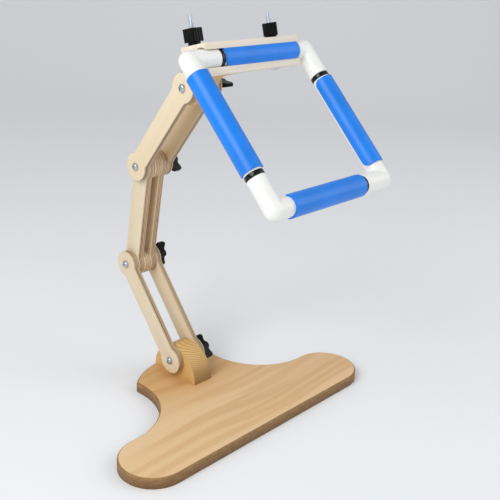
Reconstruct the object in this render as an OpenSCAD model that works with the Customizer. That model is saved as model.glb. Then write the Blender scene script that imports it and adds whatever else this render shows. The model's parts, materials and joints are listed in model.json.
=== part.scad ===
// Embroidery seat stand: board, three-link arm, clamp head and a square snap frame held in the jaws.
// Origin: on the table under the base pivot. X runs along the pivot bolts, -Y is the front edge, Z is up.

/* [Base board] */
// Length along the front edge, mm
board_length = 397; // [300:1:500]
// Thickness of the plank, mm
board_thickness = 14; // [9:0.5:25]
// Distance from the base pivot to the straight front edge, mm
board_front = 167.5; // [120:0.5:230]
// Distance from the base pivot to the back edge at its middle, mm
board_back = 45; // [42:0.5:80]
// Radius of the two front lobes, mm
lobe_radius = 43; // [30:0.5:60]
// Half width of the back lobe, mm
waist_half = 66; // [50:0.5:100]
// Distance from the base pivot back to the narrowest place, mm
waist_y = 3; // [-10:0.5:12]
// Radius of the back edge, mm
back_radius = 97; // [80:1:200]
// Radius of the back corners, mm
corner_radius = 5; // [2:0.5:10]

/* [Pivot block] */
// Width of the block between the washers, mm
block_width = 30; // [20:0.5:45]
// Half depth of the block's arch, mm
block_half = 40; // [30:0.5:45]
// Height of the block above the board, mm
block_height = 42.5; // [38:0.5:60]
// Height of the base pivot above the board, mm
pivot_rise = 25; // [22:0.5:35]

/* [Arms] */
// Distance between the holes of each arm, mm
arm_length = 144; // [110:1:200]
// Radius of the round arm ends, mm
end_radius = 18; // [14:0.5:22]
// Width of the arm bars, mm
bar_width = 26; // [18:0.5:32]
// Radius of the shoulder between bar and end, mm
shoulder_radius = 6; // [2:0.5:10]
// Thickness of the outer plates, mm
outer_ply = 8; // [5:0.5:12]
// Thickness of the middle arm's plates, mm
middle_ply = 9.5; // [6:0.5:11]
// Lean of the lower arm back from upright, degrees
lower_lean = 39; // [20:1:55]
// Lean of the middle arm back from upright, degrees
middle_lean = -9.5; // [-25:0.5:10]
// Lean of the upper arm back from upright, degrees
upper_lean = -38; // [-55:1:-20]

/* [Pivot hardware] */
// Diameter of the pivot bolts, mm
bolt_diameter = 6; // [5:0.5:8]
// Diameter of the bolt heads, mm
bolt_head_diameter = 10.5; // [9:0.5:14]
// Height of the bolt heads, mm
bolt_head_height = 3.3; // [2:0.1:5]
// Width across the flats of the hex socket, mm
socket_flats = 4; // [2.5:0.5:6]
// Room for the washer beside each block, mm
washer_room = 1; // [0.6:0.1:2]
// Diameter of the washers, mm
washer_diameter = 24; // [14:0.5:30]
// Span of the wing knobs, mm
wing_span = 35; // [28:0.5:44]
// Length of the wing knobs along the bolt, mm
wing_height = 20; // [14:0.5:26]
// Diameter of the wing knob's hub, mm
wing_hub = 12.5; // [10:0.5:18]
// Thickness of the wings at their tips, mm
wing_thickness = 4; // [2.5:0.25:7]
// Thickness of the wings at the hub, mm
wing_root = 10; // [7:0.5:12]

/* [Clamp head] */
// Length of the jaws, mm
jaw_length = 146; // [100:1:200]
// Depth of the jaws from front to back, mm
jaw_depth = 37.5; // [34:0.5:50]
// Thickness of each jaw, mm
jaw_thickness = 7.5; // [5:0.5:12]
// Gap between the clamped jaws, mm
jaw_gap = 18.3; // [16:0.1:21]
// Distance from the frame tube's axis to the jaws' front face, mm
jaw_front = 8.5; // [5:0.5:12]
// Tilt of the jaws, back edge down, degrees
jaw_tilt = 14.5; // [0:0.5:30]
// Frame tube axis in front of the head pivot, mm along the jaws
head_reach = 93; // [80:1:120]
// Frame tube axis above the head pivot, mm square to the jaws
head_rise = 23.7; // [20:0.1:40]
// Radius of the tongue's round end, mm
tongue_radius = 20.5; // [18:0.5:24]
// Diameter of the clamp rods, mm
rod_diameter = 5; // [4:0.5:6]
// Distance of the rods from the jaws' ends, mm
rod_inset = 12.5; // [9:0.5:25]
// Distance of the rods behind the jaws' front face, mm
rod_back = 28.9; // [25:0.1:40]
// Length of rod above the knobs, mm
rod_tail = 13.5; // [5:0.5:30]
// Width across the flats of the clamp knobs, mm
knob_width = 16.6; // [13:0.1:22]
// Corner radius of the clamp knobs, mm
knob_corner = 3.2; // [1:0.1:5]
// Height of the clamp knobs' grip, mm
knob_grip = 14.2; // [10:0.1:20]
// Height of the clamp knobs' collar, mm
knob_collar = 4; // [2:0.1:8]

/* [Snap frame] */
// Distance between the tube axes of opposite sides, mm
frame_pitch = 181; // [160:1:260]
// Lean of the frame's plane below level, degrees
frame_lean = 45.7; // [10:0.1:80]
// Outer diameter of the corner elbows, mm
elbow_diameter = 22; // [20:0.1:24]
// Outer diameter of the tubes, mm
tube_diameter = 21.2; // [19:0.1:21.6]
// Wall of the tubes, mm
tube_wall = 2; // [1:0.1:3]
// Outer diameter of the snap clips, mm
clip_diameter = 25.3; // [23:0.1:27]
// Half angle of the clips' opening, degrees
clip_mouth = 50; // [35:1:70]
// Roll of the right clip on its tube, degrees
clip_roll = 17; // [-20:1:30]
// Length of the elbows' short arm from the corner, mm
short_arm = 18; // [14:0.5:25]
// Length of the elbows' long arm from the corner, mm
long_arm = 38; // [28:0.5:55]
// Width of the black rings, mm
ring_width = 5.4; // [2:0.1:8]
// Bare tube between ring and clip at the left and right, mm
bare_tube = 1.8; // [1:0.1:6]

/* [Hidden] */
$fn = 48;
run_fit = 0.05;      // radial room of a bolt, rod or tube in its bore
side_fit = 0.1;      // side room between faces that turn on each other
snug = 0.02;         // room between glued or seated faces of one body
groove_fit = 0.08;   // room of the snap clip in the jaw grooves
rod_slack = 0.5;     // radial room of the rods in the upper jaw, so that it lifts freely
cut = 1;             // reach of a cutting tool past the face it cuts
lap = 0.5;           // overlap of two shapes that make one solid
hole_floor = 0.5;    // depth of a screw hole past the screw's tip

pivot_z = board_thickness + pivot_rise;
P1 = [0, pivot_z];
P2 = P1 + arm_length * [sin(lower_lean), cos(lower_lean)];
P3 = P2 + arm_length * [sin(middle_lean), cos(middle_lean)];
P4 = P3 + arm_length * [sin(upper_lean), cos(upper_lean)];
PT = P4 + [-head_reach * cos(jaw_tilt) + head_rise * sin(jaw_tilt),
            head_reach * sin(jaw_tilt) + head_rise * cos(jaw_tilt)];

half_block = block_width / 2;
plate_in = half_block + washer_room;
plate_out = plate_in + outer_ply;
spacer_half = half_block - middle_ply;
hole_radius = bolt_diameter / 2 + run_fit;
washer_thickness = washer_room - 2 * side_fit;

lobe_x = board_length / 2 - lobe_radius;
lobe_y = lobe_radius - board_front;
lobe_top = lobe_y + lobe_radius;
waist_radius = waist_y - lobe_top;
waist_x = waist_half + waist_radius;
back_y = board_back - back_radius;
corner_x = waist_half - corner_radius;
corner_y = back_y + sqrt(pow(back_radius - corner_radius, 2) - corner_x * corner_x);

jaw_half = jaw_gap / 2;
jaw_outer = jaw_half + jaw_thickness;
jaw_back = jaw_depth - jaw_front;
rod_x = jaw_length / 2 - rod_inset;
rod_m = rod_back - jaw_front;
rod_radius = rod_diameter / 2;
groove_radius = clip_diameter / 2 + groove_fit;
knob_base = jaw_outer + side_fit;
knob_top = knob_base + knob_collar + knob_grip;
rod_top = knob_top + rod_tail;
rod_head_rim = 3;
rod_head_radius = rod_radius + rod_head_rim;
rod_head_height = 2.6;
tongue_room = 1.6;
tongue_front = groove_radius + tongue_room;
tongue_top = tongue_radius - head_rise;
tongue_fillet = 18;
tongue_screw_inset = 6;
tongue_screw_cover = 1;
tongue_screw_x = half_block - tongue_screw_inset;
tongue_screw_m = (tongue_front + jaw_back) / 2;
screw_radius = 2;
screw_head = 3.6;
screw_sink = 0.4;
block_screw_inset = 13;
block_screw_bite = 16;
block_screw_y = block_half - block_screw_inset;
block_screw_length = board_thickness + block_screw_bite;

elbow_radius = elbow_diameter / 2;
tube_radius = tube_diameter / 2;
clip_radius = clip_diameter / 2;
ring_step = 0.1;
clip_room = 0.5;
ring_radius = elbow_radius - ring_step;
mouth = long_arm + ring_width;
clip_start = short_arm + clip_room;
clip_length = frame_pitch - clip_start - mouth - bare_tube;
spigot_radius = tube_radius - tube_wall - run_fit;
spigot_reach = 10;
wing_x = plate_out + side_fit;
wing_tip = wing_span / 2;
wing_collar_rim = 1.5;
wing_collar = 3;
wing_taper = 0.7;
wing_foot = 2.5;
rib_radius = 0.9;
rib_depth = 0.55;

// Points on an arc about c from angle a to angle b, one every five degrees or so
function arc(c, r, a, b) = let (n = max(2, ceil(abs(b - a) / 5)))
  [for (i = [0 : n]) c + r * [cos(a + (b - a) * i / n), sin(a + (b - a) * i / n)]];

// The same outline turned over along the other half, without its two end points
function flipped(p, m) = [for (i = [len(p) - 2 : -1 : 1]) [p[i][0] * m[0], p[i][1] * m[1]]];

// Right half of the board, from the middle of the front edge to the middle of the back
function half_board() = let (corner = atan2(corner_y - back_y, corner_x)) concat(
  [[0, -board_front]],
  arc([lobe_x, lobe_y], lobe_radius, -90, 90),
  arc([waist_x, waist_y], waist_radius, 270, 180),
  arc([corner_x, corner_y], corner_radius, 0, corner),
  arc([0, back_y], back_radius, corner, 90));

// Upper half of an arm that lies along X from the origin
function half_arm(along) = let (
    top = bar_width / 2 + shoulder_radius,
    foot = sqrt(pow(end_radius + shoulder_radius, 2) - top * top),
    touch = atan2(top, foot)) concat(
  arc([0, 0], end_radius, 180, touch),
  arc([foot, top], shoulder_radius, 180 + touch, 270),
  arc([along - foot, top], shoulder_radius, 270, 360 - touch),
  arc([along, 0], end_radius, 180 - touch, 0));

// A plain turned cylinder along X from x0 to x1 at the point p of the YZ plane
module along_x(p, r, x0, x1) {
  translate([x0, p[0], p[1]]) rotate([0, 90, 0]) cylinder(r = r, h = x1 - x0);
}

// A flat YZ shape, drawn with Y as x and Z as y, given its thickness along X
module plate(x0, x1) {
  translate([x0, 0, 0]) rotate([90, 0, 90]) linear_extrude(height = x1 - x0) children();
}

// Places a piece in the jaws' own frame, with the tube axis as its origin
module in_head() {
  translate([0, PT[0], PT[1]]) rotate([-jaw_tilt, 0, 0]) children();
}

// Places a piece in the snap frame's own frame, with the top tube's middle as its origin
module in_frame() {
  translate([0, PT[0], PT[1]]) rotate([frame_lean, 0, 0]) children();
}

// Turns a corner's pieces from the top left to corner k of the frame, clockwise
module at_corner(k) {
  translate([0, -frame_pitch / 2, 0]) rotate([0, 0, -90 * k]) translate([0, frame_pitch / 2, 0]) children();
}

module base_board() {
  color([0.80, 0.60, 0.36]) difference() {
    linear_extrude(height = board_thickness) polygon(concat(half_board(), flipped(half_board(), [-1, 1])));
    for (s = [-1, 1]) translate([0, s * block_screw_y, 0]) {
      translate([0, 0, -cut]) cylinder(r = screw_radius + run_fit, h = board_thickness + 2 * cut);
      translate([0, 0, -cut]) cylinder(r = screw_head + snug, h = cut + screw_sink);
      translate([0, 0, screw_sink])
        cylinder(r1 = screw_head + snug, r2 = screw_radius + snug, h = screw_head - screw_radius);
    }
  }
}

// The arch of the pivot block, drawn in the YZ plane
module block_shape() {
  arch = block_height - block_half;
  translate([0, board_thickness + max(arch, 0)]) intersection() {
    circle(r = block_half);
    translate([-block_half, 0]) square([2 * block_half, block_half]);
  }
  translate([-block_half, board_thickness + snug]) square([2 * block_half, max(arch, lap) + lap]);
}

module pivot_block() {
  color([0.86, 0.68, 0.42]) difference() {
    plate(-half_block, half_block) block_shape();
    along_x(P1, hole_radius, -half_block - cut, half_block + cut);
    for (s = [-1, 1]) translate([0, s * block_screw_y, board_thickness - cut])
      cylinder(r = screw_radius + run_fit, h = block_screw_bite + cut + hole_floor);
  }
}

module block_screws() {
  color([0.70, 0.70, 0.72]) for (s = [-1, 1]) translate([0, s * block_screw_y, screw_sink]) {
    cylinder(r1 = screw_head, r2 = screw_radius, h = screw_head - screw_radius);
    cylinder(r = screw_radius, h = block_screw_length - screw_sink);
  }
}

// Dog-bone outline of an arm between two pivots
module arm_shape(a, b) {
  half = half_arm(norm(b - a));
  translate(a) rotate(atan2(b[1] - a[1], b[0] - a[0])) polygon(concat(half, flipped(half, [1, -1])));
}

module arm_plate(a, b, x0, x1) {
  difference() {
    plate(x0, x1) arm_shape(a, b);
    along_x(a, hole_radius, x0 - cut, x1 + cut);
    along_x(b, hole_radius, x0 - cut, x1 + cut);
  }
}

module lower_arm_left() { color([0.90, 0.80, 0.62]) arm_plate(P1, P2, -plate_out, -plate_in); }
module lower_arm_right() { color([0.90, 0.80, 0.62]) arm_plate(P1, P2, plate_in, plate_out); }
module upper_arm_left() { color([0.91, 0.82, 0.65]) arm_plate(P3, P4, -plate_out, -plate_in); }
module upper_arm_right() { color([0.91, 0.82, 0.65]) arm_plate(P3, P4, plate_in, plate_out); }
module middle_arm_left() { color([0.88, 0.78, 0.60]) arm_plate(P2, P3, -half_block, -spacer_half); }
module middle_arm_right() { color([0.88, 0.78, 0.60]) arm_plate(P2, P3, spacer_half, half_block); }

module middle_spacer(p) {
  color([0.84, 0.72, 0.52]) difference() {
    along_x(p, end_radius, -spacer_half + snug, spacer_half - snug);
    along_x(p, hole_radius, -spacer_half - cut, spacer_half + cut);
  }
}
module middle_spacer_bottom() { middle_spacer(P2); }
module middle_spacer_top() { middle_spacer(P3); }

// Button-head bolt with a hex socket, its head on the left plate and its end in the wing knob
module pivot_bolt(p) {
  tip = wing_x + wing_height * 0.7;
  color([0.78, 0.79, 0.81]) difference() {
    union() {
      along_x(p, bolt_diameter / 2, -plate_out - bolt_head_height / 2, tip);
      translate([-plate_out - side_fit, p[0], p[1]]) rotate([0, -90, 0])
        rotate_extrude() polygon([[0, 0], [bolt_head_diameter / 2, 0],
          [bolt_head_diameter / 2, bolt_head_height * 0.25],
          [bolt_head_diameter * 0.42, bolt_head_height * 0.7],
          [bolt_head_diameter * 0.28, bolt_head_height], [0, bolt_head_height]]);
    }
    translate([-plate_out - side_fit - bolt_head_height - cut, p[0], p[1]]) rotate([0, 90, 0])
      cylinder(r = socket_flats / sqrt(3), h = bolt_head_height * 0.6 + cut, $fn = 6);
  }
}
module pivot_bolt_1() { pivot_bolt(P1); }
module pivot_bolt_2() { pivot_bolt(P2); }
module pivot_bolt_3() { pivot_bolt(P3); }
module pivot_bolt_4() { pivot_bolt(P4); }

// The two washers between a block and the outer plates
module pivot_washers(p) {
  color([0.34, 0.26, 0.20]) for (s = [-1, 1]) difference() {
    x = s * (half_block + washer_room / 2);
    along_x(p, washer_diameter / 2, x - washer_thickness / 2, x + washer_thickness / 2);
    along_x(p, hole_radius, x - washer_room, x + washer_room);
  }
}
module pivot_washers_1() { pivot_washers(P1); }
module pivot_washers_2() { pivot_washers(P2); }
module pivot_washers_3() { pivot_washers(P3); }
module pivot_washers_4() { pivot_washers(P4); }

// The two wings seen from the side, with the bolt's axis upright
module wing_side() {
  half = [[wing_tip * 0.4, wing_foot], [wing_tip * 0.72, wing_height * 0.2],
    [wing_tip * 0.93, wing_height * 0.36], [wing_tip, wing_height * 0.45],
    [wing_tip, wing_height * 0.88], [wing_tip * 0.96, wing_height * 0.96],
    [wing_tip * 0.88, wing_height], [wing_tip * 0.76, wing_height * 0.99],
    [wing_tip * 0.58, wing_height * 0.91], [wing_tip * 0.4, wing_height * 0.87]];
  polygon(concat(half, [for (i = [len(half) - 1:-1:0]) [-half[i][0], half[i][1]]]));
}

// The wings seen along the bolt, thinner at their tips
module wing_plan() {
  half = [[wing_root / 2, wing_foot], [wing_thickness / 2, wing_tip],
    [-wing_thickness / 2, wing_tip], [-wing_root / 2, wing_foot]];
  polygon(concat(half, [for (q = half) -q]));
}

// Wing knob: a tapered hub on a collar and two wings, turned by a degrees about the bolt
module wing_knob(p, a) {
  color([0.06, 0.06, 0.07]) difference() {
    translate([wing_x, p[0], p[1]]) rotate([a, 0, 0]) rotate([0, 90, 0]) {
      cylinder(r = wing_hub / 2 + wing_collar_rim, h = wing_collar);
      cylinder(r1 = wing_hub / 2, r2 = wing_hub / 2 - wing_taper, h = wing_height * 0.99);
      intersection() {
        rotate([90, 0, 90]) translate([0, 0, -wing_hub]) linear_extrude(height = 2 * wing_hub) wing_side();
        linear_extrude(height = wing_height + cut) wing_plan();
      }
    }
    along_x(p, hole_radius, wing_x - cut, wing_x + wing_height * 0.72);
  }
}
module wing_knob_1() { wing_knob(P1, 42); }
module wing_knob_2() { wing_knob(P2, 90); }
module wing_knob_3() { wing_knob(P3, 46); }
module wing_knob_4() { wing_knob(P4, -1); }

// Tongue outline in the jaws' own frame: a round end on the head pivot and a neck to the lower jaw
module tongue_shape() {
  end = [head_reach, -head_rise];
  low = -jaw_outer - tongue_fillet;
  foot = head_reach - sqrt(pow(tongue_radius + tongue_fillet, 2) - pow(low + head_rise, 2));
  touch = atan2(low + head_rise, foot - head_reach);
  polygon(concat(
    [[tongue_front, -jaw_half + snug], [tongue_front, tongue_top]],
    arc(end, tongue_radius, 90, touch < 0 ? touch : touch - 360),
    arc([foot, low], tongue_fillet, touch < 0 ? touch + 180 : touch - 180, 90),
    [[jaw_back + snug, -jaw_outer], [jaw_back + snug, -jaw_half + snug]]));
}

module head_tongue() {
  color([0.89, 0.78, 0.58]) difference() {
    in_head() plate(-half_block, half_block) tongue_shape();
    along_x(P4, hole_radius, -half_block - cut, half_block + cut);
    in_head() for (s = [-1, 1]) translate([s * tongue_screw_x, tongue_screw_m, -jaw_half - cut])
      cylinder(r = screw_radius + run_fit, h = cut + tongue_top + jaw_half - tongue_screw_cover);
  }
}

// A jaw plate between two heights, with the tube groove along its inner face
module jaw(z0, z1) {
  difference() {
    translate([-jaw_length / 2, -jaw_front, z0]) cube([jaw_length, jaw_depth, z1 - z0]);
    translate([-jaw_length / 2 - cut, 0, 0]) rotate([0, 90, 0])
      cylinder(r = groove_radius, h = jaw_length + 2 * cut);
    for (s = [-1, 1]) translate([s * rod_x, rod_m, z0 - cut])
      cylinder(r = rod_radius + (z0 > 0 ? rod_slack : run_fit), h = z1 - z0 + 2 * cut);
  }
}

module lower_jaw() {
  color([0.87, 0.76, 0.57]) in_head() difference() {
    jaw(-jaw_outer, -jaw_half);
    for (s = [-1, 1]) translate([s * tongue_screw_x, tongue_screw_m, -jaw_outer]) {
      translate([0, 0, -cut]) cylinder(r = screw_radius + run_fit, h = jaw_thickness + 2 * cut);
      translate([0, 0, -snug])
        cylinder(r1 = screw_head + snug, r2 = screw_radius + snug, h = screw_head - screw_radius);
    }
  }
}

module upper_jaw() {
  color([0.90, 0.80, 0.60]) in_head() jaw(jaw_half, jaw_outer);
}

module jaw_screws() {
  color([0.70, 0.70, 0.72]) in_head() for (s = [-1, 1])
    translate([s * tongue_screw_x, tongue_screw_m, -jaw_outer]) {
      cylinder(r1 = screw_head, r2 = screw_radius, h = screw_head - screw_radius);
      cylinder(r = screw_radius, h = jaw_outer + tongue_top - tongue_screw_cover - hole_floor);
    }
}

// Two bolts that stand up from under the lower jaw
module clamp_rods() {
  color([0.76, 0.77, 0.80]) in_head() for (s = [-1, 1]) translate([s * rod_x, rod_m, 0]) {
    translate([0, 0, -jaw_outer - snug]) mirror([0, 0, 1]) rotate_extrude()
      polygon([[0, 0], [rod_head_radius, 0], [rod_head_radius * 0.86, rod_head_height * 0.5],
        [rod_head_radius * 0.5, rod_head_height * 0.9], [0, rod_head_height]]);
    translate([0, 0, -jaw_outer - rod_head_height / 2])
      cylinder(r = rod_radius, h = jaw_outer + rod_head_height / 2 + rod_top);
  }
}

module knob_shape() {
  half = knob_width / 2 - knob_corner;
  difference() {
    union() {
      square([2 * half, knob_width], center = true);
      square([knob_width, 2 * half], center = true);
      for (x = [-half, half]) for (y = [-half, half]) translate([x, y]) circle(r = knob_corner);
    }
    for (k = [0 : 3]) rotate(90 * k) for (y = [-1, 0, 1])
      translate([knob_width / 2 + rib_radius - rib_depth, y * knob_width * 0.22])
        circle(r = rib_radius, $fn = 16);
  }
}

// Square fluted clamp knob on a round collar, turned by a degrees about its rod
module clamp_knob(x, a) {
  color([0.07, 0.07, 0.08]) in_head() translate([x, rod_m, knob_base]) rotate(a) difference() {
    union() {
      cylinder(r = knob_width * 0.41, h = knob_collar + lap);
      translate([0, 0, knob_collar]) linear_extrude(height = knob_grip) knob_shape();
    }
    translate([0, 0, -cut]) cylinder(r = rod_radius + run_fit, h = knob_collar + knob_grip + 2 * cut);
  }
}
module clamp_knob_left() { clamp_knob(-rod_x, 0); }
module clamp_knob_right() { clamp_knob(rod_x, 45); }

// Corner elbow: a long arm along +X and a short one along -Y, each with a spigot inside its tube
module elbow(k) {
  color([0.95, 0.95, 0.94]) in_frame() at_corner(k) translate([-frame_pitch / 2, 0, 0]) {
    sphere(r = elbow_radius);
    rotate([0, 90, 0]) {
      cylinder(r = elbow_radius, h = long_arm);
      cylinder(r = spigot_radius, h = mouth + spigot_reach);
    }
    rotate([90, 0, 0]) {
      cylinder(r = elbow_radius, h = short_arm);
      cylinder(r = spigot_radius, h = short_arm + spigot_reach);
    }
  }
}
module elbow_top_left() { elbow(0); }
module elbow_top_right() { elbow(1); }
module elbow_bottom_right() { elbow(2); }
module elbow_bottom_left() { elbow(3); }

// Tube of a side, from the ring on the corner's long arm to the next corner's short arm
module tube(k) {
  length = frame_pitch - mouth - short_arm - 2 * snug;
  color([0.97, 0.97, 0.96]) in_frame() at_corner(k)
    translate([-frame_pitch / 2 + mouth + snug, 0, 0]) rotate([0, 90, 0]) difference() {
      cylinder(r = tube_radius, h = length);
      translate([0, 0, -cut]) cylinder(r = tube_radius - tube_wall, h = length + 2 * cut);
    }
}
module tube_top() { tube(0); }
module tube_right() { tube(1); }
module tube_bottom() { tube(2); }
module tube_left() { tube(3); }

module socket_rings() {
  color([0.04, 0.04, 0.05]) in_frame() for (k = [0 : 3]) at_corner(k)
    translate([-frame_pitch / 2 + long_arm + snug, 0, 0]) rotate([0, 90, 0]) difference() {
      cylinder(r = ring_radius, h = ring_width - 2 * snug);
      translate([0, 0, -cut]) cylinder(r = spigot_radius + run_fit, h = ring_width + 2 * cut);
    }
}

// Snap clip on a side's tube: a round wall with its mouth towards the frame's inside and back
module clip(k) {
  bare = k % 2 == 0 ? 4 * snug : bare_tube;
  inside = tube_radius + run_fit;
  lip = (clip_radius - inside) / 2;
  color([0.20, 0.50, 0.95]) in_frame() at_corner(k)
    translate([-frame_pitch / 2 + mouth + bare, 0, 0]) rotate([90, 0, 90])
      linear_extrude(height = clip_length) rotate(225 + (k == 1 ? clip_roll : 0)) {
        difference() {
          circle(r = clip_radius);
          circle(r = inside);
          polygon([[0, 0], 3 * clip_radius * [cos(clip_mouth), -sin(clip_mouth)],
            [4 * clip_radius, 0], 3 * clip_radius * [cos(clip_mouth), sin(clip_mouth)]]);
        }
        for (s = [-1, 1]) translate((inside + lip) * [cos(clip_mouth), s * sin(clip_mouth)])
          circle(r = lip);
      }
}
module clip_top() { clip(0); }
module clip_right() { clip(1); }
module clip_bottom() { clip(2); }
module clip_left() { clip(3); }

base_board();
pivot_block();
block_screws();
pivot_bolt_1();
pivot_washers_1();
wing_knob_1();
lower_arm_left();
lower_arm_right();
pivot_bolt_2();
pivot_washers_2();
wing_knob_2();
middle_arm_left();
middle_arm_right();
middle_spacer_bottom();
middle_spacer_top();
pivot_bolt_3();
pivot_washers_3();
wing_knob_3();
upper_arm_left();
upper_arm_right();
pivot_bolt_4();
pivot_washers_4();
wing_knob_4();
head_tongue();
lower_jaw();
jaw_screws();
clamp_rods();
upper_jaw();
clamp_knob_left();
clamp_knob_right();
elbow_top_left();
elbow_top_right();
elbow_bottom_right();
elbow_bottom_left();
tube_top();
tube_right();
tube_bottom();
tube_left();
socket_rings();
clip_top();
clip_right();
clip_bottom();
clip_left();
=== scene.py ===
import json
from math import atan2, cos, hypot, pi, radians, sin, sqrt

import bpy
from bpy.props import FloatProperty, FloatVectorProperty, PointerProperty
from mathutils import Matrix, Vector


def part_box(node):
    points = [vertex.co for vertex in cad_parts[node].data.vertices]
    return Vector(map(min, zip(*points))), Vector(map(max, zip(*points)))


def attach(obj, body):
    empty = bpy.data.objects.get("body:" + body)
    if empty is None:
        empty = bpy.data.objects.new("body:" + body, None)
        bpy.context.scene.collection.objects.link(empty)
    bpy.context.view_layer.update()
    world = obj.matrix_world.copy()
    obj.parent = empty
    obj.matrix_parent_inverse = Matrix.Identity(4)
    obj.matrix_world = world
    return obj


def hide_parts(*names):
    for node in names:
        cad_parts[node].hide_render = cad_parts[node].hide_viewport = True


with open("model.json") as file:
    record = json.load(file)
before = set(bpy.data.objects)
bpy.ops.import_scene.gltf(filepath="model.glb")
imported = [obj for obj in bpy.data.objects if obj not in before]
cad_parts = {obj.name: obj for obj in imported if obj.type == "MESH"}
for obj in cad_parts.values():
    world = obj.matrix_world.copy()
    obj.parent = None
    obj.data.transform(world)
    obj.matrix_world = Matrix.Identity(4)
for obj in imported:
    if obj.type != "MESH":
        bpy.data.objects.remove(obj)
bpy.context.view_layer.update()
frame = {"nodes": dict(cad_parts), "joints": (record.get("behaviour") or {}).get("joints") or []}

bl_info = {
    "name": "Embroidery seat stand",
    "version": (1, 0, 0),
    "blender": (4, 5, 0),
    "location": "View3D > Sidebar > Seat Stand",
    "description": "Dresses the packed seat stand: eased wood, moulded plastic, plated steel and a studio",
    "category": "Object",
}

MM = 0.001

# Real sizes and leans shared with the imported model, in millimetres and degrees
LEANS = {"lower": 39.0, "middle": -9.5, "upper": -38.0}
JAW_TILT = 14.5
FRAME_LEAN = 45.7
FRAME_PITCH = 181.0
BOARD_THICKNESS = 14.0
SCREW_Y = 27.0

# Radius round each block screw in which the board's edges stay sharp, mm
SCREW_ROOM = 8.0
# Height within which an edge counts as lying in the board's top or bottom face, m
FACE_DEPTH = 0.0001
# Share of the clips' rows and columns that crowd towards the edges
CROWDING = 0.35

# The photograph's camera: place in metres, angles in degrees, lengths in pixels and sensor width in mm
CAMERA_PLACE = (-0.6683, -0.7395, 0.5739)
CAMERA_TURN, CAMERA_PITCH, CAMERA_ROLL = -47.04, 20.86, 2.18
FOCAL_PIXELS, PICTURE_PIXELS = 820.2, 500
SENSOR_WIDTH = 36

# The studio in metres and degrees: the floor, the backdrop, and their turn towards the camera
FLOOR_SIDE, WALL_HEIGHT, WALL_BEND = 6, 3, 1.2
FLOOR_EDGE, FLOOR_LEVEL = 2.9, 0.01
FLOOR_TURN = -47
LAMP_AIM = (0, -0.05, 0.25)

JOINTS = {joint["name"]: joint for joint in frame["joints"]}
TUBE_TOP = Vector(JOINTS["frame_tilt"]["pos_m"])


def colour(red, green, blue):
    """Screen values from 0 to 255 as the linear colour that Blender's sockets take."""
    def linear(value):
        value /= 255
        return value / 12.92 if value <= 0.04045 else ((value + 0.055) / 1.055) ** 2.4
    return (linear(red), linear(green), linear(blue))


def length(name, text, default, low, high):
    """A length property in millimetres."""
    return FloatProperty(name=name, description=text, default=default, min=low, max=high, precision=2)


def tint(name, text, default):
    """A colour property."""
    return FloatVectorProperty(name=name, description=text, subtype="COLOR", size=3, min=0, max=1,
                               default=default)


def amount(name, text, default, high):
    """A property for a lamp's power or the sky's strength."""
    return FloatProperty(name=name, description=text, default=default, min=0, max=high)


class SEATSTAND_PG_wood(bpy.types.PropertyGroup):
    """Colours and edges of the wooden pieces"""
    board_light: tint("Board light", "Light bands of the board's grain", colour(240, 207, 162))
    board_dark: tint("Board dark", "Dark bands of the board's grain", colour(208, 162, 106))
    board_cast: tint("Board cast", "Golden cast of the board's back lobe", (0.86, 0.74, 0.55))
    # The side edge's colour is partly a real dark stain and partly painted shade
    board_edge_stain_and_shade: tint("Board edge", "Dark stain on the board's side edge", colour(132, 97, 56))
    board_fleck: tint("Board edge flecks", "Golden flecks in the side edge", colour(176, 142, 92))
    block_light: tint("Block light", "Light part of the pivot block", colour(230, 191, 120))
    block_dark: tint("Block dark", "Growth rings of the pivot block", colour(176, 128, 76))
    face_light: tint("Plywood face light", "Light part of the plates' face veneer", colour(246, 230, 201))
    face_dark: tint("Plywood face dark", "Dark part of the plates' face veneer", colour(232, 208, 170))
    jaw_light: tint("Jaw light", "Light part of the jaws", colour(243, 235, 220))
    jaw_dark: tint("Jaw dark", "Dark part of the jaws", colour(228, 215, 194))
    # The neck's two tones are partly its own darker wood and partly painted shade for the shade that falls
    # on it
    neck_light_shaded: tint("Neck light", "Light part of the head's neck", colour(222, 184, 136))
    neck_dark_shaded: tint("Neck dark", "Dark part of the head's neck", colour(192, 150, 104))
    layer_dark: tint("Plywood layer", "Cross layers that show on the plates' edges", colour(180, 146, 106))
    glue_line: tint("Glue line", "Glue lines between the layers", colour(78, 46, 30))
    # Painted shade: a golden-brown tint for the shaded inner faces in the gap between two plates
    gap_shade_tint: tint("Gap cast", "Golden cast inside the gap between two plates", (0.76, 0.66, 0.52))
    board_round: length("Board rounding", "Rounding of the board's top edge, mm", 3.0, 0.2, 4.0)
    plate_round: length("Plate edge", "Easing of the plates' edges, mm", 0.45, 0.1, 1.5)


class SEATSTAND_PG_plastic(bpy.types.PropertyGroup):
    """Colours of the plastic and steel pieces"""
    clip_blue: tint("Clip blue", "Snap clips", colour(0, 126, 232))
    pipe_white: tint("Pipe white", "Elbows and tubes of the snap frame", colour(244, 245, 241))
    ring_black: tint("Ring black", "Rings at the elbows' sockets", colour(9, 9, 11))
    knob_black: tint("Knob black", "Wing knobs and clamp knobs", colour(8, 8, 9))
    rod_steel: tint("Rod steel", "Threaded clamp rods", colour(222, 231, 244))
    bolt_steel: tint("Bolt steel", "Pivot bolts and screws", colour(196, 204, 212))
    clip_corner: length("Clip corner", "Corner radius at the ends of the clips, mm", 8.0, 1.0, 12.0)


class SEATSTAND_PG_studio(bpy.types.PropertyGroup):
    """Floor, backdrop and lamps"""
    floor: tint("Floor", "Floor and backdrop", colour(246, 248, 251))
    key_power: amount("Key lamp", "Power of the large lamp at the left, W", 27, 100)
    fill_power: amount("Fill lamp", "Power of the lamp at the right, W", 10, 100)
    sky: amount("Sky", "Strength of the even light from all round", 0.49, 2)


def wood():
    return bpy.context.scene.seat_stand_wood


def plastic():
    return bpy.context.scene.seat_stand_plastic


def studio():
    return bpy.context.scene.seat_stand_studio


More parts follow.
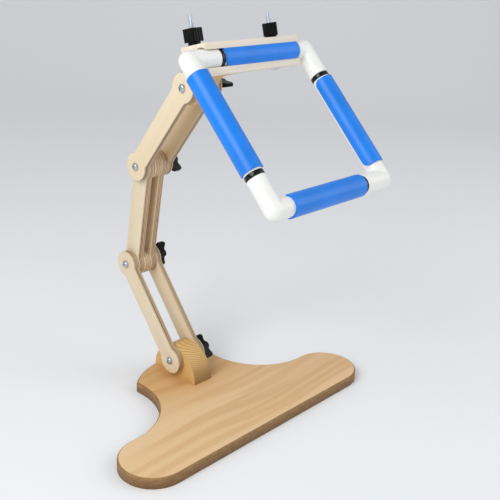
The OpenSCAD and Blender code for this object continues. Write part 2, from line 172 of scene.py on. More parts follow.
class Value:
    """A shader value that works in Python expressions; each operator adds its Math node."""

    def __init__(self, finish, socket):
        self.finish = finish
        self.socket = socket

    def _maths(self, operation, *others):
        result = self.finish.node("ShaderNodeMath", {"operation": operation}, *others)
        return Value(self.finish, result.outputs[0])

    def __add__(self, other):
        return self._maths("ADD", self, other)

    __radd__ = __add__

    def __sub__(self, other):
        return self._maths("SUBTRACT", self, other)

    def __rsub__(self, other):
        return self._maths("SUBTRACT", other, self)

    def __mul__(self, other):
        return self._maths("MULTIPLY", self, other)

    __rmul__ = __mul__

    def __truediv__(self, other):
        return self._maths("DIVIDE", self, other)

    def __abs__(self):
        return self._maths("ABSOLUTE", self)

    def __gt__(self, other):
        return self._maths("GREATER_THAN", self, other)

    def __lt__(self, other):
        return self._maths("LESS_THAN", self, other)

    def maximum(self, other):
        return self._maths("MAXIMUM", self, other)

    def minimum(self, other):
        return self._maths("MINIMUM", self, other)

    def limited(self):
        """Held between 0 and 1."""
        return self.minimum(1).maximum(0)

    def root(self):
        return self._maths("SQRT", self.maximum(0))

    def sine(self):
        return self._maths("SINE", self)

    def fraction(self):
        return self._maths("FRACT", self)

    def smooth(self, low, high):
        """0 below low, 1 above high, eased between."""
        result = self.finish.node("ShaderNodeMapRange", {"interpolation_type": "SMOOTHSTEP"},
                                  self, low, high, 0.0, 1.0)
        return Value(self.finish, result.outputs[0])


class Finish:
    """A material under construction."""

    def __init__(self, name):
        self.material = bpy.data.materials.new(name)
        self.material.use_nodes = True
        self.tree = self.material.node_tree
        self.tree.nodes.clear()
        output = self.tree.nodes.new("ShaderNodeOutputMaterial")
        self.surface = self.tree.nodes.new("ShaderNodeBsdfPrincipled")
        self.tree.links.new(self.surface.outputs[0], output.inputs["Surface"])

    def node(self, kind, settings=None, *values, **named):
        """Adds a node; its settings are set first, then its sockets by order or by name."""
        made = self.tree.nodes.new(kind)
        for key, value in (settings or {}).items():
            setattr(made, key, value)
        for key, value in list(enumerate(values)) + list(named.items()):
            self.plug(made.inputs[key], value)
        return made

    def plug(self, socket, value):
        """Links a value to a socket, or sets a constant on the socket itself."""
        if isinstance(value, Value):
            value = value.socket
        if isinstance(value, bpy.types.NodeSocket):
            self.tree.links.new(value, socket)
        elif socket.type == "RGBA" and len(value) == 3:
            socket.default_value = (*value, 1)
        else:
            socket.default_value = value

    def place(self, lean=0):
        """The piece's own coordinates in metres, turned by lean degrees about X."""
        source = self.node("ShaderNodeTexCoord").outputs["Object"]
        turned = self.node("ShaderNodeMapping", {"vector_type": "POINT"}, Vector=source,
                           Rotation=(radians(lean), 0, 0))
        return turned.outputs[0]

    def normal_parts(self):
        """The surface normal's three parts."""
        return self.parts(self.node("ShaderNodeTexCoord").outputs["Normal"])

    def parts(self, vector):
        """A vector's three parts as values."""
        split = self.node("ShaderNodeSeparateXYZ", None, vector)
        return [Value(self, split.outputs[i]) for i in range(3)]

    def join(self, x, y, z):
        """One vector from three values."""
        return self.node("ShaderNodeCombineXYZ", None, x, y, z).outputs[0]

    def noise(self, vector, scale, detail, roughness, distortion=0.0):
        """Smooth noise from 0 to 1."""
        made = self.node("ShaderNodeTexNoise", {"noise_dimensions": "3D"}, Vector=vector, Scale=scale,
                         Detail=detail, Roughness=roughness, Distortion=distortion)
        return Value(self, made.outputs["Fac"])

    def grain(self, parts, scales, detail, roughness, distortion=0.0):
        """Noise with its own scale, per metre, along each axis."""
        spread = self.join(*[part * scale for part, scale in zip(parts, scales)])
        return self.noise(spread, 1.0, detail, roughness, distortion)

    # The factor and the two colours of a Mix node are its sockets 0, 6 and 7, and its colour is output 2
    def mix(self, factor, low, high):
        made = self.tree.nodes.new("ShaderNodeMix")
        made.data_type = "RGBA"
        self.plug(made.inputs[0], factor)
        self.plug(made.inputs[6], low)
        self.plug(made.inputs[7], high)
        return made.outputs[2]

    def bump(self, height, strength, distance):
        made = self.node("ShaderNodeBump", None, Strength=strength, Distance=distance, Height=height)
        return made.outputs["Normal"]

    def done(self, base, roughness, normal=None, metallic=0.0, coat=0.0, coat_roughness=0.1,
             specular=0.5):
        """Plugs everything into the surface and returns the material."""
        ports = self.surface.inputs
        self.plug(ports["Base Color"], base)
        self.plug(ports["Roughness"], roughness)
        self.plug(ports["Metallic"], metallic)
        ports["Coat Weight"].default_value = coat
        ports["Coat Roughness"].default_value = coat_roughness
        ports["Specular IOR Level"].default_value = specular
        if normal is not None:
            self.plug(ports["Normal"], normal)
        return self.material


def scaled(shade, factor):
    """A colour made lighter or darker."""
    return tuple(min(1.0, value * factor) for value in shade)


def tinted(shade, cast):
    """A colour under a coloured cast."""
    return tuple(value * part for value, part in zip(shade, cast))


def blended(low, high, factor):
    """A colour between two others."""
    return tuple(a + (b - a) * factor for a, b in zip(low, high))


MADE = {}


def once(make):
    """Keeps one material per maker and arguments."""
    def kept(*values):
        key = (make.__name__, values)
        if key not in MADE:
            MADE[key] = make(*values)
        return MADE[key]
    return kept


@once
def board_wood():
    """Honey plank: bands along the front edge, fine fibres, and dark sides with golden flecks; the sides'
    dark colour is partly stain and partly painted shade.
    """
    look = wood()
    f = Finish("board_wood")
    spot = x, y, z = f.parts(f.place())
    drift = f.grain(spot, (2.4, 6, 3), 2.0, 0.5)
    rings = f.noise(f.join(x * 0.8, y * 26 + drift * 2, z * 26), 1.0, 2.0, 0.5, 0.1)
    bands = ((rings + drift * 0.25) * 20.0).sine() * 0.5 + 0.5
    lines = bands.smooth(0.72, 0.98)
    fibre = f.grain(spot, (26, 900, 900), 2.0, 0.6)
    broad = f.grain(spot, (1.6, 15, 10), 2.0, 0.5)
    tone = (bands * 0.2 + lines * 0.16 + fibre * 0.24 + broad.smooth(0.3, 0.7) * 0.22).limited()
    top = f.mix(tone, tuple(look.board_light), tuple(look.board_dark))
    golden = f.mix(tone, tinted(look.board_light, look.board_cast),
                   tinted(look.board_dark, look.board_cast))
    top = f.mix(y.smooth(-0.09, 0.0), top, golden)
    # The side faces take the edge colour, partly stain and partly painted shade, darker towards the bottom
    side = 1 - abs(f.normal_parts()[2]).smooth(0.84, 0.985)
    streak = f.grain(spot, (40, 60, 500), 3.0, 0.6)
    fleck = f.grain(spot, (160, 220, 420), 3.0, 0.65).smooth(0.46, 0.7)
    lift = (z * (1 / MM) / BOARD_THICKNESS).limited()
    stain_and_shade = f.mix(lift, scaled(look.board_edge_stain_and_shade, 0.85), scaled(look.board_edge_stain_and_shade, 1.45))
    deep = f.mix(lift, scaled(look.board_edge_stain_and_shade, 0.62), scaled(look.board_edge_stain_and_shade, 1.05))
    edge = f.mix(streak.smooth(0.3, 0.75), deep, stain_and_shade)
    edge = f.mix(fleck * (lift * 0.5 + 0.15), edge, tuple(look.board_fleck))
    base = f.mix(side, top, edge)
    rim_line = side * (1 - side) * 1.6
    base = f.mix(rim_line, base, scaled(look.board_edge_stain_and_shade, 0.6))
    height = fibre * 0.5 + bands * 0.2 + streak * side * 0.6
    rough = 0.44 + fibre * 0.14 + side * 0.12
    return f.done(base, rough, f.bump(height, 0.14, 0.0004), coat=0.06, coat_roughness=0.35)


@once
def block_wood():
    """Golden block cut so that its growth rings cross the arched face; its flanks are nearly plain."""
    look = wood()
    f = Finish("block_wood")
    spot = f.parts(f.place())
    x, z = spot[0], spot[2]
    pith_x, pith_z = 0.06, 0.13
    ring_pitch = 0.0023
    wander = f.grain(spot, (30, 8, 30), 2.0, 0.5)
    across = x + pith_x
    below = z + pith_z
    distance = (across * across + below * below).root()
    wave = ((distance + wander * 0.003) * (2 * pi / ring_pitch)).sine()
    ring = wave.smooth(0.1, 1.0)
    fibre = f.grain(spot, (900, 40, 900), 2.0, 0.6)
    broad = f.grain(spot, (40, 14, 60), 2.0, 0.5)
    flank = abs(f.normal_parts()[0]).smooth(0.5, 0.9)
    tone = (ring * (0.62 - flank * 0.5) + fibre * 0.14 + broad * 0.3 - 0.08).limited()
    warm = f.mix(tone, tuple(look.block_light), tuple(look.block_dark))
    base = f.mix(flank * 0.25, warm, tuple(look.block_dark))
    # Painted shade: the arched face is darkened towards its bottom, standing in for the shade that falls
    # there
    painted_low_shade = (1 - z.smooth(0.014, 0.058)) * (1 - flank) * 0.75
    base = f.mix(painted_low_shade, base, scaled(tuple(look.block_dark), 0.45))
    relief = f.bump(fibre * 0.4 + ring * 0.2, 0.14, 0.0003)
    return f.done(base, 0.5 + fibre * 0.1, relief, coat=0.05, coat_roughness=0.4)


@once
def plywood(name, start, thickness, layers, lean, shade, edge_painted_light, outside, gap_shade):
    """Plate of crossed layers through X, its face grain along Z after lean degrees about X."""
    # Outside is -1 or 1 for the plate's outer side, where the glue lines are darker, or 0 for a spacer
    # Gap shade, from 0 to 1, is painted shade: a golden-brown tint that the inner face takes in the gap
    # between the plates
    look = wood()
    f = Finish(name)
    parts = f.parts(f.place(lean))
    depth = (parts[0] - start * MM) / (thickness * MM)
    flow = f.grain(parts, (30, 30, 2.4), 3.0, 0.55, 0.25)
    fibre = f.grain(parts, (520, 520, 14), 2.0, 0.6)
    streak = f.grain(parts, (90, 90, 9), 2.0, 0.6)
    cloud = f.grain(parts, (14, 14, 14), 2.0, 0.5)
    speckle = f.grain(parts, (800, 800, 800), 2.0, 0.7)
    # Shade and the edge's painted light are per-link factors of painted light and shade: lighter or darker
    # copies of the same plywood
    light = scaled(look.face_light, shade)
    dark = scaled(look.face_dark, shade)
    rim = scaled(tuple(look.layer_dark), edge_painted_light)
    glue = scaled(tuple(look.glue_line), edge_painted_light)
    tone = (flow.smooth(0.3, 0.75) * 0.45 + fibre * 0.25 + cloud * 0.3 - 0.12).limited()
    face = f.mix(tone, light, dark)
    normal = f.normal_parts()[0]
    # Painted shade on the inner face, in the gap between the plates
    if outside:
        golden = f.mix(tone, tinted(light, look.gap_shade_tint), tinted(dark, look.gap_shade_tint))
        face = f.mix((normal * -outside).smooth(0.6, 0.9) * gap_shade, face, golden)
    place = depth * layers + (streak - 0.5) * 0.08
    cross = (place * 0.5).fraction() > 0.5
    coarse = speckle.smooth(0.3, 0.75)
    cross_edge = f.mix(coarse, scaled(rim, 1.15), scaled(rim, 0.88))
    pale_edge = f.mix(coarse, blended(scaled(light, edge_painted_light), rim, 0.4),
                      blended(scaled(dark, edge_painted_light), rim, 0.6))
    layer = f.mix(cross * 0.6, pale_edge, cross_edge)
    sheet = thickness / layers
    reach = 1 / sheet
    # Half widths of a glue line at its faint rim and at its full tone, mm, for thick and thin layers
    thick_sheet = 2.2
    wide, full = (0.75, 0.35) if sheet > thick_sheet else (0.5, 0.2)
    inside = (depth > (0.5 / layers)) * (depth < (1.0 - 0.5 / layers))
    seam = abs(place.fraction() - 0.5).smooth(0.5 - wide * reach, 0.5 - full * reach) * inside
    outer_half = {-1: depth < 0.5, 0: 0.5, 1: depth > 0.5}[outside]
    strength = (streak.smooth(0.35, 0.6) * 0.45 + 0.55) * (outer_half * 0.35 + 0.65)
    rimmed = f.mix(seam * strength, layer, glue)
    veneer = abs(normal).smooth(0.55, 0.85)
    base = f.mix(veneer, rimmed, face)
    height = fibre * 0.4 - seam * (1 - veneer) * 0.8
    return f.done(base, 0.50 + fibre * 0.12, f.bump(height, 0.16, 0.0003), coat=0.04, coat_roughness=0.4)


@once
def pale_wood(name, lean, axis, light, dark):
    """Sanded pale wood between two tones, with its grain along one axis after lean degrees about X."""
    f = Finish(name)
    parts = f.parts(f.place(lean))
    broad = [70.0] * 3
    broad[axis] = 4.0
    fine = [620.0] * 3
    fine[axis] = 18.0
    flow = f.grain(parts, broad, 3.0, 0.55, 0.3)
    lines = (flow * 30).sine() * 0.5 + 0.5
    fibre = f.grain(parts, fine, 2.0, 0.6)
    cloud = f.grain(parts, (18, 18, 18), 2.0, 0.5)
    tone = (lines * 0.35 + fibre * 0.3 + cloud * 0.35 - 0.05).limited()
    relief = f.bump(fibre * 0.5 + lines * 0.2, 0.15, 0.0003)
    return f.done(f.mix(tone, light, dark), 0.5 + fibre * 0.12, relief, coat=0.04, coat_roughness=0.4)


@once
def clip_plastic():
    """Glossy blue clip plastic with faint flow marks."""
    f = Finish("clip_plastic")
    spot = f.place()
    flow = f.noise(spot, 26.0, 2.0, 0.5)
    fine = f.noise(spot, 900.0, 2.0, 0.6)
    blue = tuple(plastic().clip_blue)
    base = f.mix(flow.smooth(0.3, 0.7), scaled(blue, 0.93), scaled(blue, 1.08))
    return f.done(base, 0.38 + fine * 0.06, f.bump(flow * 0.6 + fine * 0.15, 0.05, 0.0004), coat=0.04,
                  coat_roughness=0.15, specular=0.45)


@once
def pipe_plastic():
    """Off-white pipe plastic, a little scuffed and dusty."""
    f = Finish("pipe_plastic")
    spot = f.place()
    cloud = f.noise(spot, 34.0, 3.0, 0.55)
    fine = f.noise(spot, 1200.0, 2.0, 0.6)
    scuff = f.noise(spot, 210.0, 4.0, 0.65).smooth(0.62, 0.8)
    white = tuple(plastic().pipe_white)
    base = f.mix(cloud.smooth(0.3, 0.75), white, scaled(white, 0.955))
    base = f.mix(scuff * 0.25, base, colour(205, 203, 193))
    relief = f.bump(cloud * 0.5 + fine * 0.1, 0.05, 0.0004)
    return f.done(base, 0.34 + fine * 0.06 + scuff * 0.15, relief, coat=0.12, coat_roughness=0.3)


@once
def ring_plastic():
    """Glossy black ring."""
    f = Finish("ring_plastic")
    fine = f.noise(f.place(), 500.0, 2.0, 0.5)
    black = tuple(plastic().ring_black)
    base = f.mix(fine, scaled(black, 0.8), scaled(black, 1.3))
    return f.done(base, 0.12 + fine * 0.05, f.bump(fine, 0.03, 0.0002), coat=0.1,
                  coat_roughness=0.08, specular=0.3)


@once
def knob_plastic():
    """Black moulded plastic with a fine spark-eroded texture."""
    f = Finish("knob_plastic")
    spot = f.place()
    grit = f.noise(spot, 2600.0, 2.0, 0.7)
    cloud = f.noise(spot, 120.0, 2.0, 0.5)
    black = tuple(plastic().knob_black)
    base = f.mix(cloud.smooth(0.3, 0.7), scaled(black, 0.75), scaled(black, 1.25))
    return f.done(base, 0.27 + cloud * 0.08, f.bump(grit, 0.04, 0.0002), coat=0.03,
                  coat_roughness=0.15, specular=0.14)


@once
def plated_steel(name, lean, thread):
    """Zinc-plated steel; thread is its pitch in mm along Z after lean degrees about X, or 0."""
    f = Finish(name)
    spot = f.place(lean)
    cloud = f.noise(spot, 260.0, 3.0, 0.6)
    steel = tuple(plastic().rod_steel if thread else plastic().bolt_steel)
    base = f.mix(cloud.smooth(0.25, 0.75), scaled(steel, 0.82), scaled(steel, 1.05))
    height = cloud * 0.15
    strength, reach = 0.08, 0.0002
    if thread:
        along = f.parts(spot)[2]
        height = (along * (2 * pi / (thread * MM))).sine() * 0.5 + 0.5
        strength, reach = 0.45, 0.0004
    return f.done(base, 0.30 + cloud * 0.14, f.bump(height, strength, reach), metallic=1.0)


@once
def washer_fibre():
    """Brown fibre friction washer."""
    f = Finish("washer_fibre")
    cloud = f.noise(f.place(), 400.0, 3.0, 0.6)
    base = f.mix(cloud, colour(84, 62, 46), colour(122, 94, 70))
    return f.done(base, 0.62 + cloud * 0.2, f.bump(cloud, 0.12, 0.0002))


@once
def studio_paper():
    """Pale matt floor and backdrop with a very faint tone change."""
    f = Finish("studio_paper")
    cloud = f.noise(f.place(), 1.6, 2.0, 0.5)
    pale = tuple(studio().floor)
    base = f.mix(cloud, scaled(pale, 0.985), scaled(pale, 1.01))
    return f.done(base, 0.85)


def only(piece):
    """Selects one object and makes it active."""
    bpy.ops.object.select_all(action="DESELECT")
    piece.select_set(True)
    bpy.context.view_layer.objects.active = piece


def named(name):
    """Names the object just added by an operator and returns it."""
    piece = bpy.context.object
    piece.name = name
    piece.data.name = name
    return piece


def select_edges(piece, test):
    """In edit mode, selects the edges whose two ends pass the test."""
    bpy.ops.mesh.select_all(action="DESELECT")
    bpy.ops.object.mode_set(mode="OBJECT")
    mesh = piece.data
    for edge in mesh.edges:
        edge.select = bool(test(*[mesh.vertices[i].co for i in edge.vertices]))
    bpy.ops.object.mode_set(mode="EDIT")


def off_screws(point):
    """Whether a point of the board lies clear of its two screw holes."""
    return hypot(point[0], abs(point[1]) - SCREW_Y * MM) > SCREW_ROOM * MM


def modifier(piece, kind, **settings):
    """Adds a modifier, sets it and applies it."""
    only(piece)
    bpy.ops.object.modifier_add(type=kind)
    made = piece.modifiers[-1]
    for key, value in settings.items():
        setattr(made, key, value)
    bpy.ops.object.modifier_apply(modifier=made.name)


def traced(node, name):
    """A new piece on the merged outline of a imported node."""
    mesh = frame["nodes"][node].data.copy()
    piece = bpy.data.objects.new(name, mesh)
    bpy.context.scene.collection.objects.link(piece)
    only(piece)
    if mesh.has_custom_normals:
        bpy.ops.mesh.customdata_custom_splitnormals_clear()
    bpy.ops.object.mode_set(mode="EDIT")
    bpy.ops.mesh.select_all(action="SELECT")
    bpy.ops.mesh.remove_doubles(threshold=0.000002)
    bpy.ops.mesh.dissolve_limited(angle_limit=radians(0.6))
    bpy.ops.object.mode_set(mode="OBJECT")
    return piece


def eased(node, name, width, segments=2, sharp=28, test=None):
    """Traces a node and rounds its sharp edges, or only those that the test names."""
    piece = traced(node, name)
    bpy.ops.object.mode_set(mode="EDIT")
    bpy.ops.mesh.select_mode(type="EDGE")
    bpy.ops.mesh.select_all(action="DESELECT")
    bpy.ops.mesh.edges_select_sharp(sharpness=radians(sharp))
    if test:
        bpy.ops.object.mode_set(mode="OBJECT")
        mesh = piece.data
        for edge in mesh.edges:
            a, b = [mesh.vertices[i].co for i in edge.vertices]
            if edge.select and not test(a, b):
                edge.select = False
        bpy.ops.object.mode_set(mode="EDIT")
    bpy.ops.mesh.bevel(offset=width * MM, offset_type="OFFSET", segments=segments, profile=0.5,
                       clamp_overlap=width < 1)
    bpy.ops.object.mode_set(mode="OBJECT")
    return piece


def remoulded(piece, voxel, passes):
    """Melts a piece into one moulded skin and softens its creases."""
    modifier(piece, "REMESH", mode="VOXEL", voxel_size=voxel * MM, adaptivity=0.0)
    modifier(piece, "SMOOTH", factor=0.5, iterations=passes)
    return piece


def dressed(piece, node, body, material, angle=32):
    """Gives a finished piece its material, smooth shading, body and slot, in place of its node."""
    only(piece)
    piece.data.materials.clear()
    piece.data.materials.append(material)
    for face in piece.data.polygons:
        face.material_index = 0
    bpy.ops.object.shade_smooth_by_angle(angle=radians(angle), keep_sharp_edges=False)
    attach(piece, body)
    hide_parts(node)


def finished_node(node, material):
    """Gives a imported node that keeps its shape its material."""
    target = frame["nodes"][node]
    if target.material_slots:
        for holder in target.material_slots:
            holder.material = material
    else:
        target.data.materials.append(material)


def crowded(share):
    """A share from -1 to 1, moved so that rows lie closer together near both ends."""
    return sin(share * pi / 2) * CROWDING + share * (1 - CROWDING)


def corner_matrix(k):
    """The placement of corner k of the snap frame, clockwise from the top left."""
    half = FRAME_PITCH / 2 * MM
    lean = Matrix.Rotation(radians(FRAME_LEAN), 4, "X")
    turn = Matrix.Rotation(radians(-90 * k), 4, "Z")
    return (Matrix.Translation(TUBE_TOP) @ lean
            @ Matrix.Translation((0, -half, 0)) @ turn @ Matrix.Translation((0, half, 0)))


def settle(piece, matrix):
    """Moves a piece's mesh by a matrix and keeps its object at the origin."""
    only(piece)
    piece.matrix_world = matrix
    bpy.ops.object.transform_apply(location=True, rotation=True, scale=True)


class SEATSTAND_OT_board(bpy.types.Operator):
    """Board with its rounded edge, and the arched pivot block"""
    bl_idname = "seat_stand.board"
    bl_label = "Board and block"

    def execute(self, context):
        look = wood()
        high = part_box("base_board")[1][2]
        board = eased("base_board", "seat_board", look.board_round, segments=5, sharp=40,
                      test=lambda a, b: min(a[2], b[2]) > high - FACE_DEPTH and off_screws(a))
        only(board)
        bpy.ops.object.mode_set(mode="EDIT")
        bpy.ops.mesh.select_mode(type="EDGE")
        select_edges(board, lambda a, b: max(a[2], b[2]) < FACE_DEPTH and off_screws(a))
        bpy.ops.mesh.bevel(offset=0.7 * MM, segments=2, clamp_overlap=True)
        bpy.ops.object.mode_set(mode="OBJECT")
        dressed(board, "base_board", "base", board_wood(), 40)
        block = eased("pivot_block", "arched_block", 0.7, sharp=40)
        dressed(block, "pivot_block", "base", block_wood(), 40)
        finished_node("block_screws", plated_steel("screw_steel", 0, 0))
        return {"FINISHED"}


class SEATSTAND_OT_arms(bpy.types.Operator):
    """Plywood plates of the three arm links and the middle link's spacers"""
    bl_idname = "seat_stand.arms"
    bl_label = "Arms"

    def execute(self, context):
        width = wood().plate_round
        # Painted light and shade: each link's face and edge colours are scaled lighter or darker by how
        # the light falls on it
        painted_light_levels = {"lower": 0.83, "middle": 0.84, "upper": 0.93}
        painted_edge_light_levels = {"lower": 0.9, "middle": 1.1, "upper": 0.84}
        # How much painted shade each link's plates take on their inner faces in the gap
        gap_shades = {"lower": 0.0, "middle": 0.8, "upper": 0.75}
        for link, lean in LEANS.items():
            for side in ("left", "right"):
                node = f"{link}_arm_{side}"
                low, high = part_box(node)
                start, thickness = low[0] / MM, (high[0] - low[0]) / MM
                layers = 4 if link == "middle" else 3
                outside = -1 if side == "left" else 1
                material = plywood(f"{link}_plywood_{side}", round(start, 3), round(thickness, 3),
                                   layers, lean, painted_light_levels[link], painted_edge_light_levels[link], outside,
                                   gap_shades[link])
                dressed(eased(node, f"{link}_plate_{side}", width), node, f"{link}_arm", material)
        for place in ("bottom", "top"):
            node = f"middle_spacer_{place}"
            low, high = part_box(node)
            start, thickness = low[0] / MM, (high[0] - low[0]) / MM
            # The spacers' edges are painted lighter (factor 1.2) as painted light
            material = plywood(f"spacer_plywood_{place}", round(start, 3), round(thickness, 3), 6,
                               LEANS["middle"], 1.0, 1.2, 0, 0.0)
            dressed(eased(node, f"arm_spacer_{place}", 0.25), node, "middle_arm", material)
        return {"FINISHED"}


class SEATSTAND_OT_bolts(bpy.types.Operator):
    """Pivot bolts with their button heads, and the washers"""
    bl_idname = "seat_stand.bolts"
    bl_label = "Bolts and washers"

    def execute(self, context):
        steel = plated_steel("bolt_steel", 0, 0)
        bodies = {1: "base", 2: "middle_arm", 3: "middle_arm", 4: "head"}
        for number, body in bodies.items():
            bolt = eased(f"pivot_bolt_{number}", f"button_bolt_{number}", 0.22, sharp=35)
            dressed(bolt, f"pivot_bolt_{number}", body, steel, 50)
            washers = eased(f"pivot_washers_{number}", f"washer_pair_{number}", 0.15)
            dressed(washers, f"pivot_washers_{number}", body, washer_fibre())
        return {"FINISHED"}


class SEATSTAND_OT_wing_knobs(bpy.types.Operator):
    """Black wing knobs: a hub with two flared wings"""
    bl_idname = "seat_stand.wing_knobs"
    bl_label = "Wing knobs"

    def execute(self, context):
        for number, label in enumerate(("base", "lower", "upper", "head"), 1):
            node = f"wing_knob_{number}"
            knob = remoulded(traced(node, f"{label}_wing_knob"), 0.34, 3)
            dressed(knob, node, f"wing_knob_{label}", knob_plastic(), 70)
        return {"FINISHED"}


class SEATSTAND_OT_head(bpy.types.Operator):
    """Tongue, the two jaws and the hidden screws"""
    bl_idname = "seat_stand.head"
    bl_label = "Head and jaws"

    def execute(self, context):
        look = wood()
        tongue = eased("head_tongue", "head_neck", 0.5)
        # The neck's colours carry painted shade
        neck = pale_wood("neck_wood", JAW_TILT, 1, tuple(look.neck_light_shaded), tuple(look.neck_dark_shaded))
        dressed(tongue, "head_tongue", "head", neck)
        strip = pale_wood("jaw_wood", JAW_TILT, 0, tuple(look.jaw_light), tuple(look.jaw_dark))
        for node, body in (("lower_jaw", "head"), ("upper_jaw", "upper_jaw")):
            dressed(eased(node, f"{node}_plate", look.plate_round), node, body, strip)
        finished_node("jaw_screws", plated_steel("screw_steel", 0, 0))
        return {"FINISHED"}


class SEATSTAND_OT_clamp(bpy.types.Operator):
    """Threaded clamp rods and the ribbed square knobs"""
    bl_idname = "seat_stand.clamp"
    bl_label = "Clamp rods and knobs"

    def execute(self, context):
        rods = eased("clamp_rods", "clamp_rod_pair", 0.3, sharp=35)
        thread = plated_steel("thread_steel", JAW_TILT, 0.8)
        dressed(rods, "clamp_rods", "head", thread, 50)
        for side in ("left", "right"):
            node = f"clamp_knob_{side}"
            knob = remoulded(traced(node, f"{side}_clamp_knob"), 0.26, 2)
            dressed(knob, node, f"knob_{side}", knob_plastic(), 60)
        return {"FINISHED"}


class SEATSTAND_OT_frame(bpy.types.Operator):
    """Elbows, tubes and black rings of the snap frame"""
    bl_idname = "seat_stand.frame"
    bl_label = "Snap frame"

    def execute(self, context):
        for corner in ("top_left", "top_right", "bottom_right", "bottom_left"):
            node = f"elbow_{corner}"
            elbow = remoulded(traced(node, f"{corner}_elbow"), 0.6, 5)
            dressed(elbow, node, "snap_frame", pipe_plastic(), 60)
        for side in ("top", "right", "bottom", "left"):
            node = f"tube_{side}"
            dressed(eased(node, f"{side}_pipe", 0.3), node, "snap_frame", pipe_plastic())
        rings = eased("socket_rings", "black_ring_set", 0.8, segments=3)
        dressed(rings, "socket_rings", "snap_frame", ring_plastic(), 50)
        return {"FINISHED"}


class SEATSTAND_OT_clips(bpy.types.Operator):
    """Blue snap clips: curved walls with rounded corners at their lips"""
    bl_idname = "seat_stand.clips"
    bl_label = "Snap clips"

    def execute(self, context):
        for k, side in enumerate(("top", "right", "bottom", "left")):
            node = f"clip_{side}"
            body = "snap_frame" if side == "top" else node
            clip = self.wall(f"{side}_snap_clip", *self.measured(k, node))
            settle(clip, corner_matrix(k))
            dressed(clip, node, body, clip_plastic(), 60)
        return {"FINISHED"}

    def measured(self, k, node):
        """A packed clip's two ends along its side, its two radii, its middle direction and half angle."""
        back = corner_matrix(k).inverted()
        places = [back @ vertex.co for vertex in frame["nodes"][node].data.vertices]
        radii = [hypot(place.y, place.z) for place in places]
        outer = [place for place, radius in zip(places, radii) if radius > max(radii) - 0.00002]
        middle = atan2(sum(place.z for place in outer), sum(place.y for place in outer))
        away = [abs((atan2(place.z, place.y) - middle + pi) % (2 * pi) - pi) for place in outer]
        ends = [place.x for place in places]
        return (min(ends), max(ends), min(radii), max(radii), middle, max(away))

    def wall(self, name, low, high, inner, outer, centre, half):
        """A curved sheet with rounded corners, given its thickness and soft edges."""
        corner = plastic().clip_corner * MM
        rows, columns = 72, 60
        bpy.ops.object.select_all(action="DESELECT")
        bpy.ops.mesh.primitive_grid_add(x_subdivisions=columns, y_subdivisions=rows, size=2,
                                        location=(0, 0, 0))
        clip = named(name)
        width = outer * half
        middle, reach = (low + high) / 2, (high - low) / 2
        for vertex in clip.data.vertices:
            across, along = crowded(vertex.co.y), crowded(vertex.co.x)
            edge = width * (1 - abs(across))
            trim = corner - sqrt(max(corner * corner - (corner - edge) ** 2, 0)) if edge < corner else 0
            angle = centre + across * half
            vertex.co = (middle + along * (reach - trim), outer * cos(angle), outer * sin(angle))
        clip.data.update()
        only(clip)
        bpy.ops.object.mode_set(mode="EDIT")
        bpy.ops.mesh.select_all(action="SELECT")
        bpy.ops.mesh.remove_doubles(threshold=0.000001)
        bpy.ops.mesh.normals_make_consistent(inside=False)
        bpy.ops.object.mode_set(mode="OBJECT")
        outward = sum(1 if face.normal.dot(Vector((0, face.center.y, face.center.z))) > 0 else -1
                      for face in clip.data.polygons)
        if outward < 0:
            bpy.ops.object.mode_set(mode="EDIT")
            bpy.ops.mesh.select_all(action="SELECT")
            bpy.ops.mesh.flip_normals()
            bpy.ops.object.mode_set(mode="OBJECT")
        modifier(clip, "SOLIDIFY", thickness=outer - inner, offset=-1.0, use_even_offset=True)
        modifier(clip, "BEVEL", width=0.8 * MM, segments=3, limit_method="ANGLE", angle_limit=radians(50))
        return clip


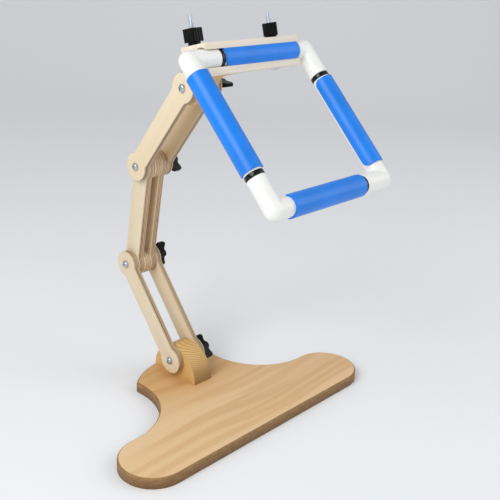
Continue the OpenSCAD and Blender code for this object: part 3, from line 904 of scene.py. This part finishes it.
class SEATSTAND_OT_stage(bpy.types.Operator):
    """Pale floor and backdrop, soft lamps and the camera"""
    bl_idname = "seat_stand.stage"
    bl_label = "Studio"

    def execute(self, context):
        look = studio()
        bpy.ops.object.select_all(action="DESELECT")
        bpy.ops.mesh.primitive_plane_add(size=FLOOR_SIDE, location=(0, 0, -0.0004))
        floor = named("studio_floor")
        bpy.ops.object.mode_set(mode="EDIT")
        select_edges(floor, lambda a, b: min(a[1], b[1]) > FLOOR_EDGE)
        bpy.ops.mesh.extrude_region_move(TRANSFORM_OT_translate={"value": (0, 0, WALL_HEIGHT)})
        bpy.ops.mesh.select_mode(type="EDGE")
        select_edges(floor, lambda a, b: min(a[1], b[1]) > FLOOR_EDGE
                     and max(abs(a[2]), abs(b[2])) < FLOOR_LEVEL)
        bpy.ops.mesh.bevel(offset=WALL_BEND, segments=16, clamp_overlap=True)
        bpy.ops.object.mode_set(mode="OBJECT")
        floor.rotation_euler = (0, 0, radians(FLOOR_TURN))
        bpy.ops.object.shade_smooth_by_angle(angle=radians(60))
        floor.data.materials.append(studio_paper())
        self.lamp("key_lamp", (-1.75, -0.27, 1.54), 1.3, look.key_power)
        self.lamp("fill_lamp", (1.2, -1.4, 1.1), 1.4, look.fill_power)
        world = bpy.data.worlds.new("studio_sky")
        world.use_nodes = True
        world.node_tree.nodes["Background"].inputs[0].default_value = (1, 1, 1, 1)
        world.node_tree.nodes["Background"].inputs[1].default_value = look.sky
        context.scene.world = world
        self.camera(context)
        context.scene.view_settings.view_transform = "Standard"
        return {"FINISHED"}

    def lamp(self, name, place, size, power):
        """A square lamp, size metres wide, aimed at the stand."""
        aim = Vector(LAMP_AIM) - Vector(place)
        turn = aim.to_track_quat("-Z", "Y").to_euler()
        bpy.ops.object.light_add(type="AREA", location=place, rotation=turn)
        lamp = named(name)
        lamp.data.size = size
        lamp.data.energy = power

    def camera(self, context):
        """The photograph's place, aim, roll and focal length."""
        turn, pitch, roll = radians(CAMERA_TURN), radians(CAMERA_PITCH), radians(CAMERA_ROLL)
        forward = Vector((-sin(turn) * cos(pitch), cos(turn) * cos(pitch), -sin(pitch)))
        level = Vector((cos(turn), sin(turn), 0))
        upward = level.cross(forward)
        right = cos(roll) * level + sin(roll) * upward
        up = -sin(roll) * level + cos(roll) * upward
        matrix = Matrix((right, up, -forward)).transposed()
        bpy.ops.object.camera_add(location=CAMERA_PLACE, rotation=matrix.to_euler())
        camera = named("photo_camera")
        camera.data.sensor_width = SENSOR_WIDTH
        camera.data.lens = FOCAL_PIXELS * SENSOR_WIDTH / PICTURE_PIXELS
        camera.data.clip_start = 0.01
        context.scene.camera = camera


OPERATORS = (SEATSTAND_OT_board, SEATSTAND_OT_arms, SEATSTAND_OT_bolts, SEATSTAND_OT_wing_knobs,
             SEATSTAND_OT_head, SEATSTAND_OT_clamp, SEATSTAND_OT_frame, SEATSTAND_OT_clips,
             SEATSTAND_OT_stage)
GROUPS = (SEATSTAND_PG_wood, SEATSTAND_PG_plastic, SEATSTAND_PG_studio)


class SEATSTAND_PT_panel(bpy.types.Panel):
    """Lists the steps that dress the seat stand"""
    bl_label = "Seat stand"
    bl_idname = "SEATSTAND_PT_panel"
    bl_space_type = "VIEW_3D"
    bl_region_type = "UI"
    bl_category = "Seat Stand"

    def draw(self, context):
        column = self.layout.column(align=True)
        for operator in OPERATORS:
            column.operator(operator.bl_idname)
        for name in ("seat_stand_wood", "seat_stand_plastic", "seat_stand_studio"):
            group = getattr(context.scene, name)
            box = self.layout.box()
            for key in group.__annotations__:
                box.prop(group, key)


def register():
    for item in GROUPS + OPERATORS + (SEATSTAND_PT_panel,):
        bpy.utils.register_class(item)
    bpy.types.Scene.seat_stand_wood = PointerProperty(type=SEATSTAND_PG_wood)
    bpy.types.Scene.seat_stand_plastic = PointerProperty(type=SEATSTAND_PG_plastic)
    bpy.types.Scene.seat_stand_studio = PointerProperty(type=SEATSTAND_PG_studio)


def unregister():
    for name in ("seat_stand_studio", "seat_stand_plastic", "seat_stand_wood"):
        delattr(bpy.types.Scene, name)
    for item in reversed(GROUPS + OPERATORS + (SEATSTAND_PT_panel,)):
        bpy.utils.unregister_class(item)


def main():
    register()
    for operator in OPERATORS:
        group, name = operator.bl_idname.split(".")
        getattr(getattr(bpy.ops, group), name)()


if __name__ == "__main__":
    main()
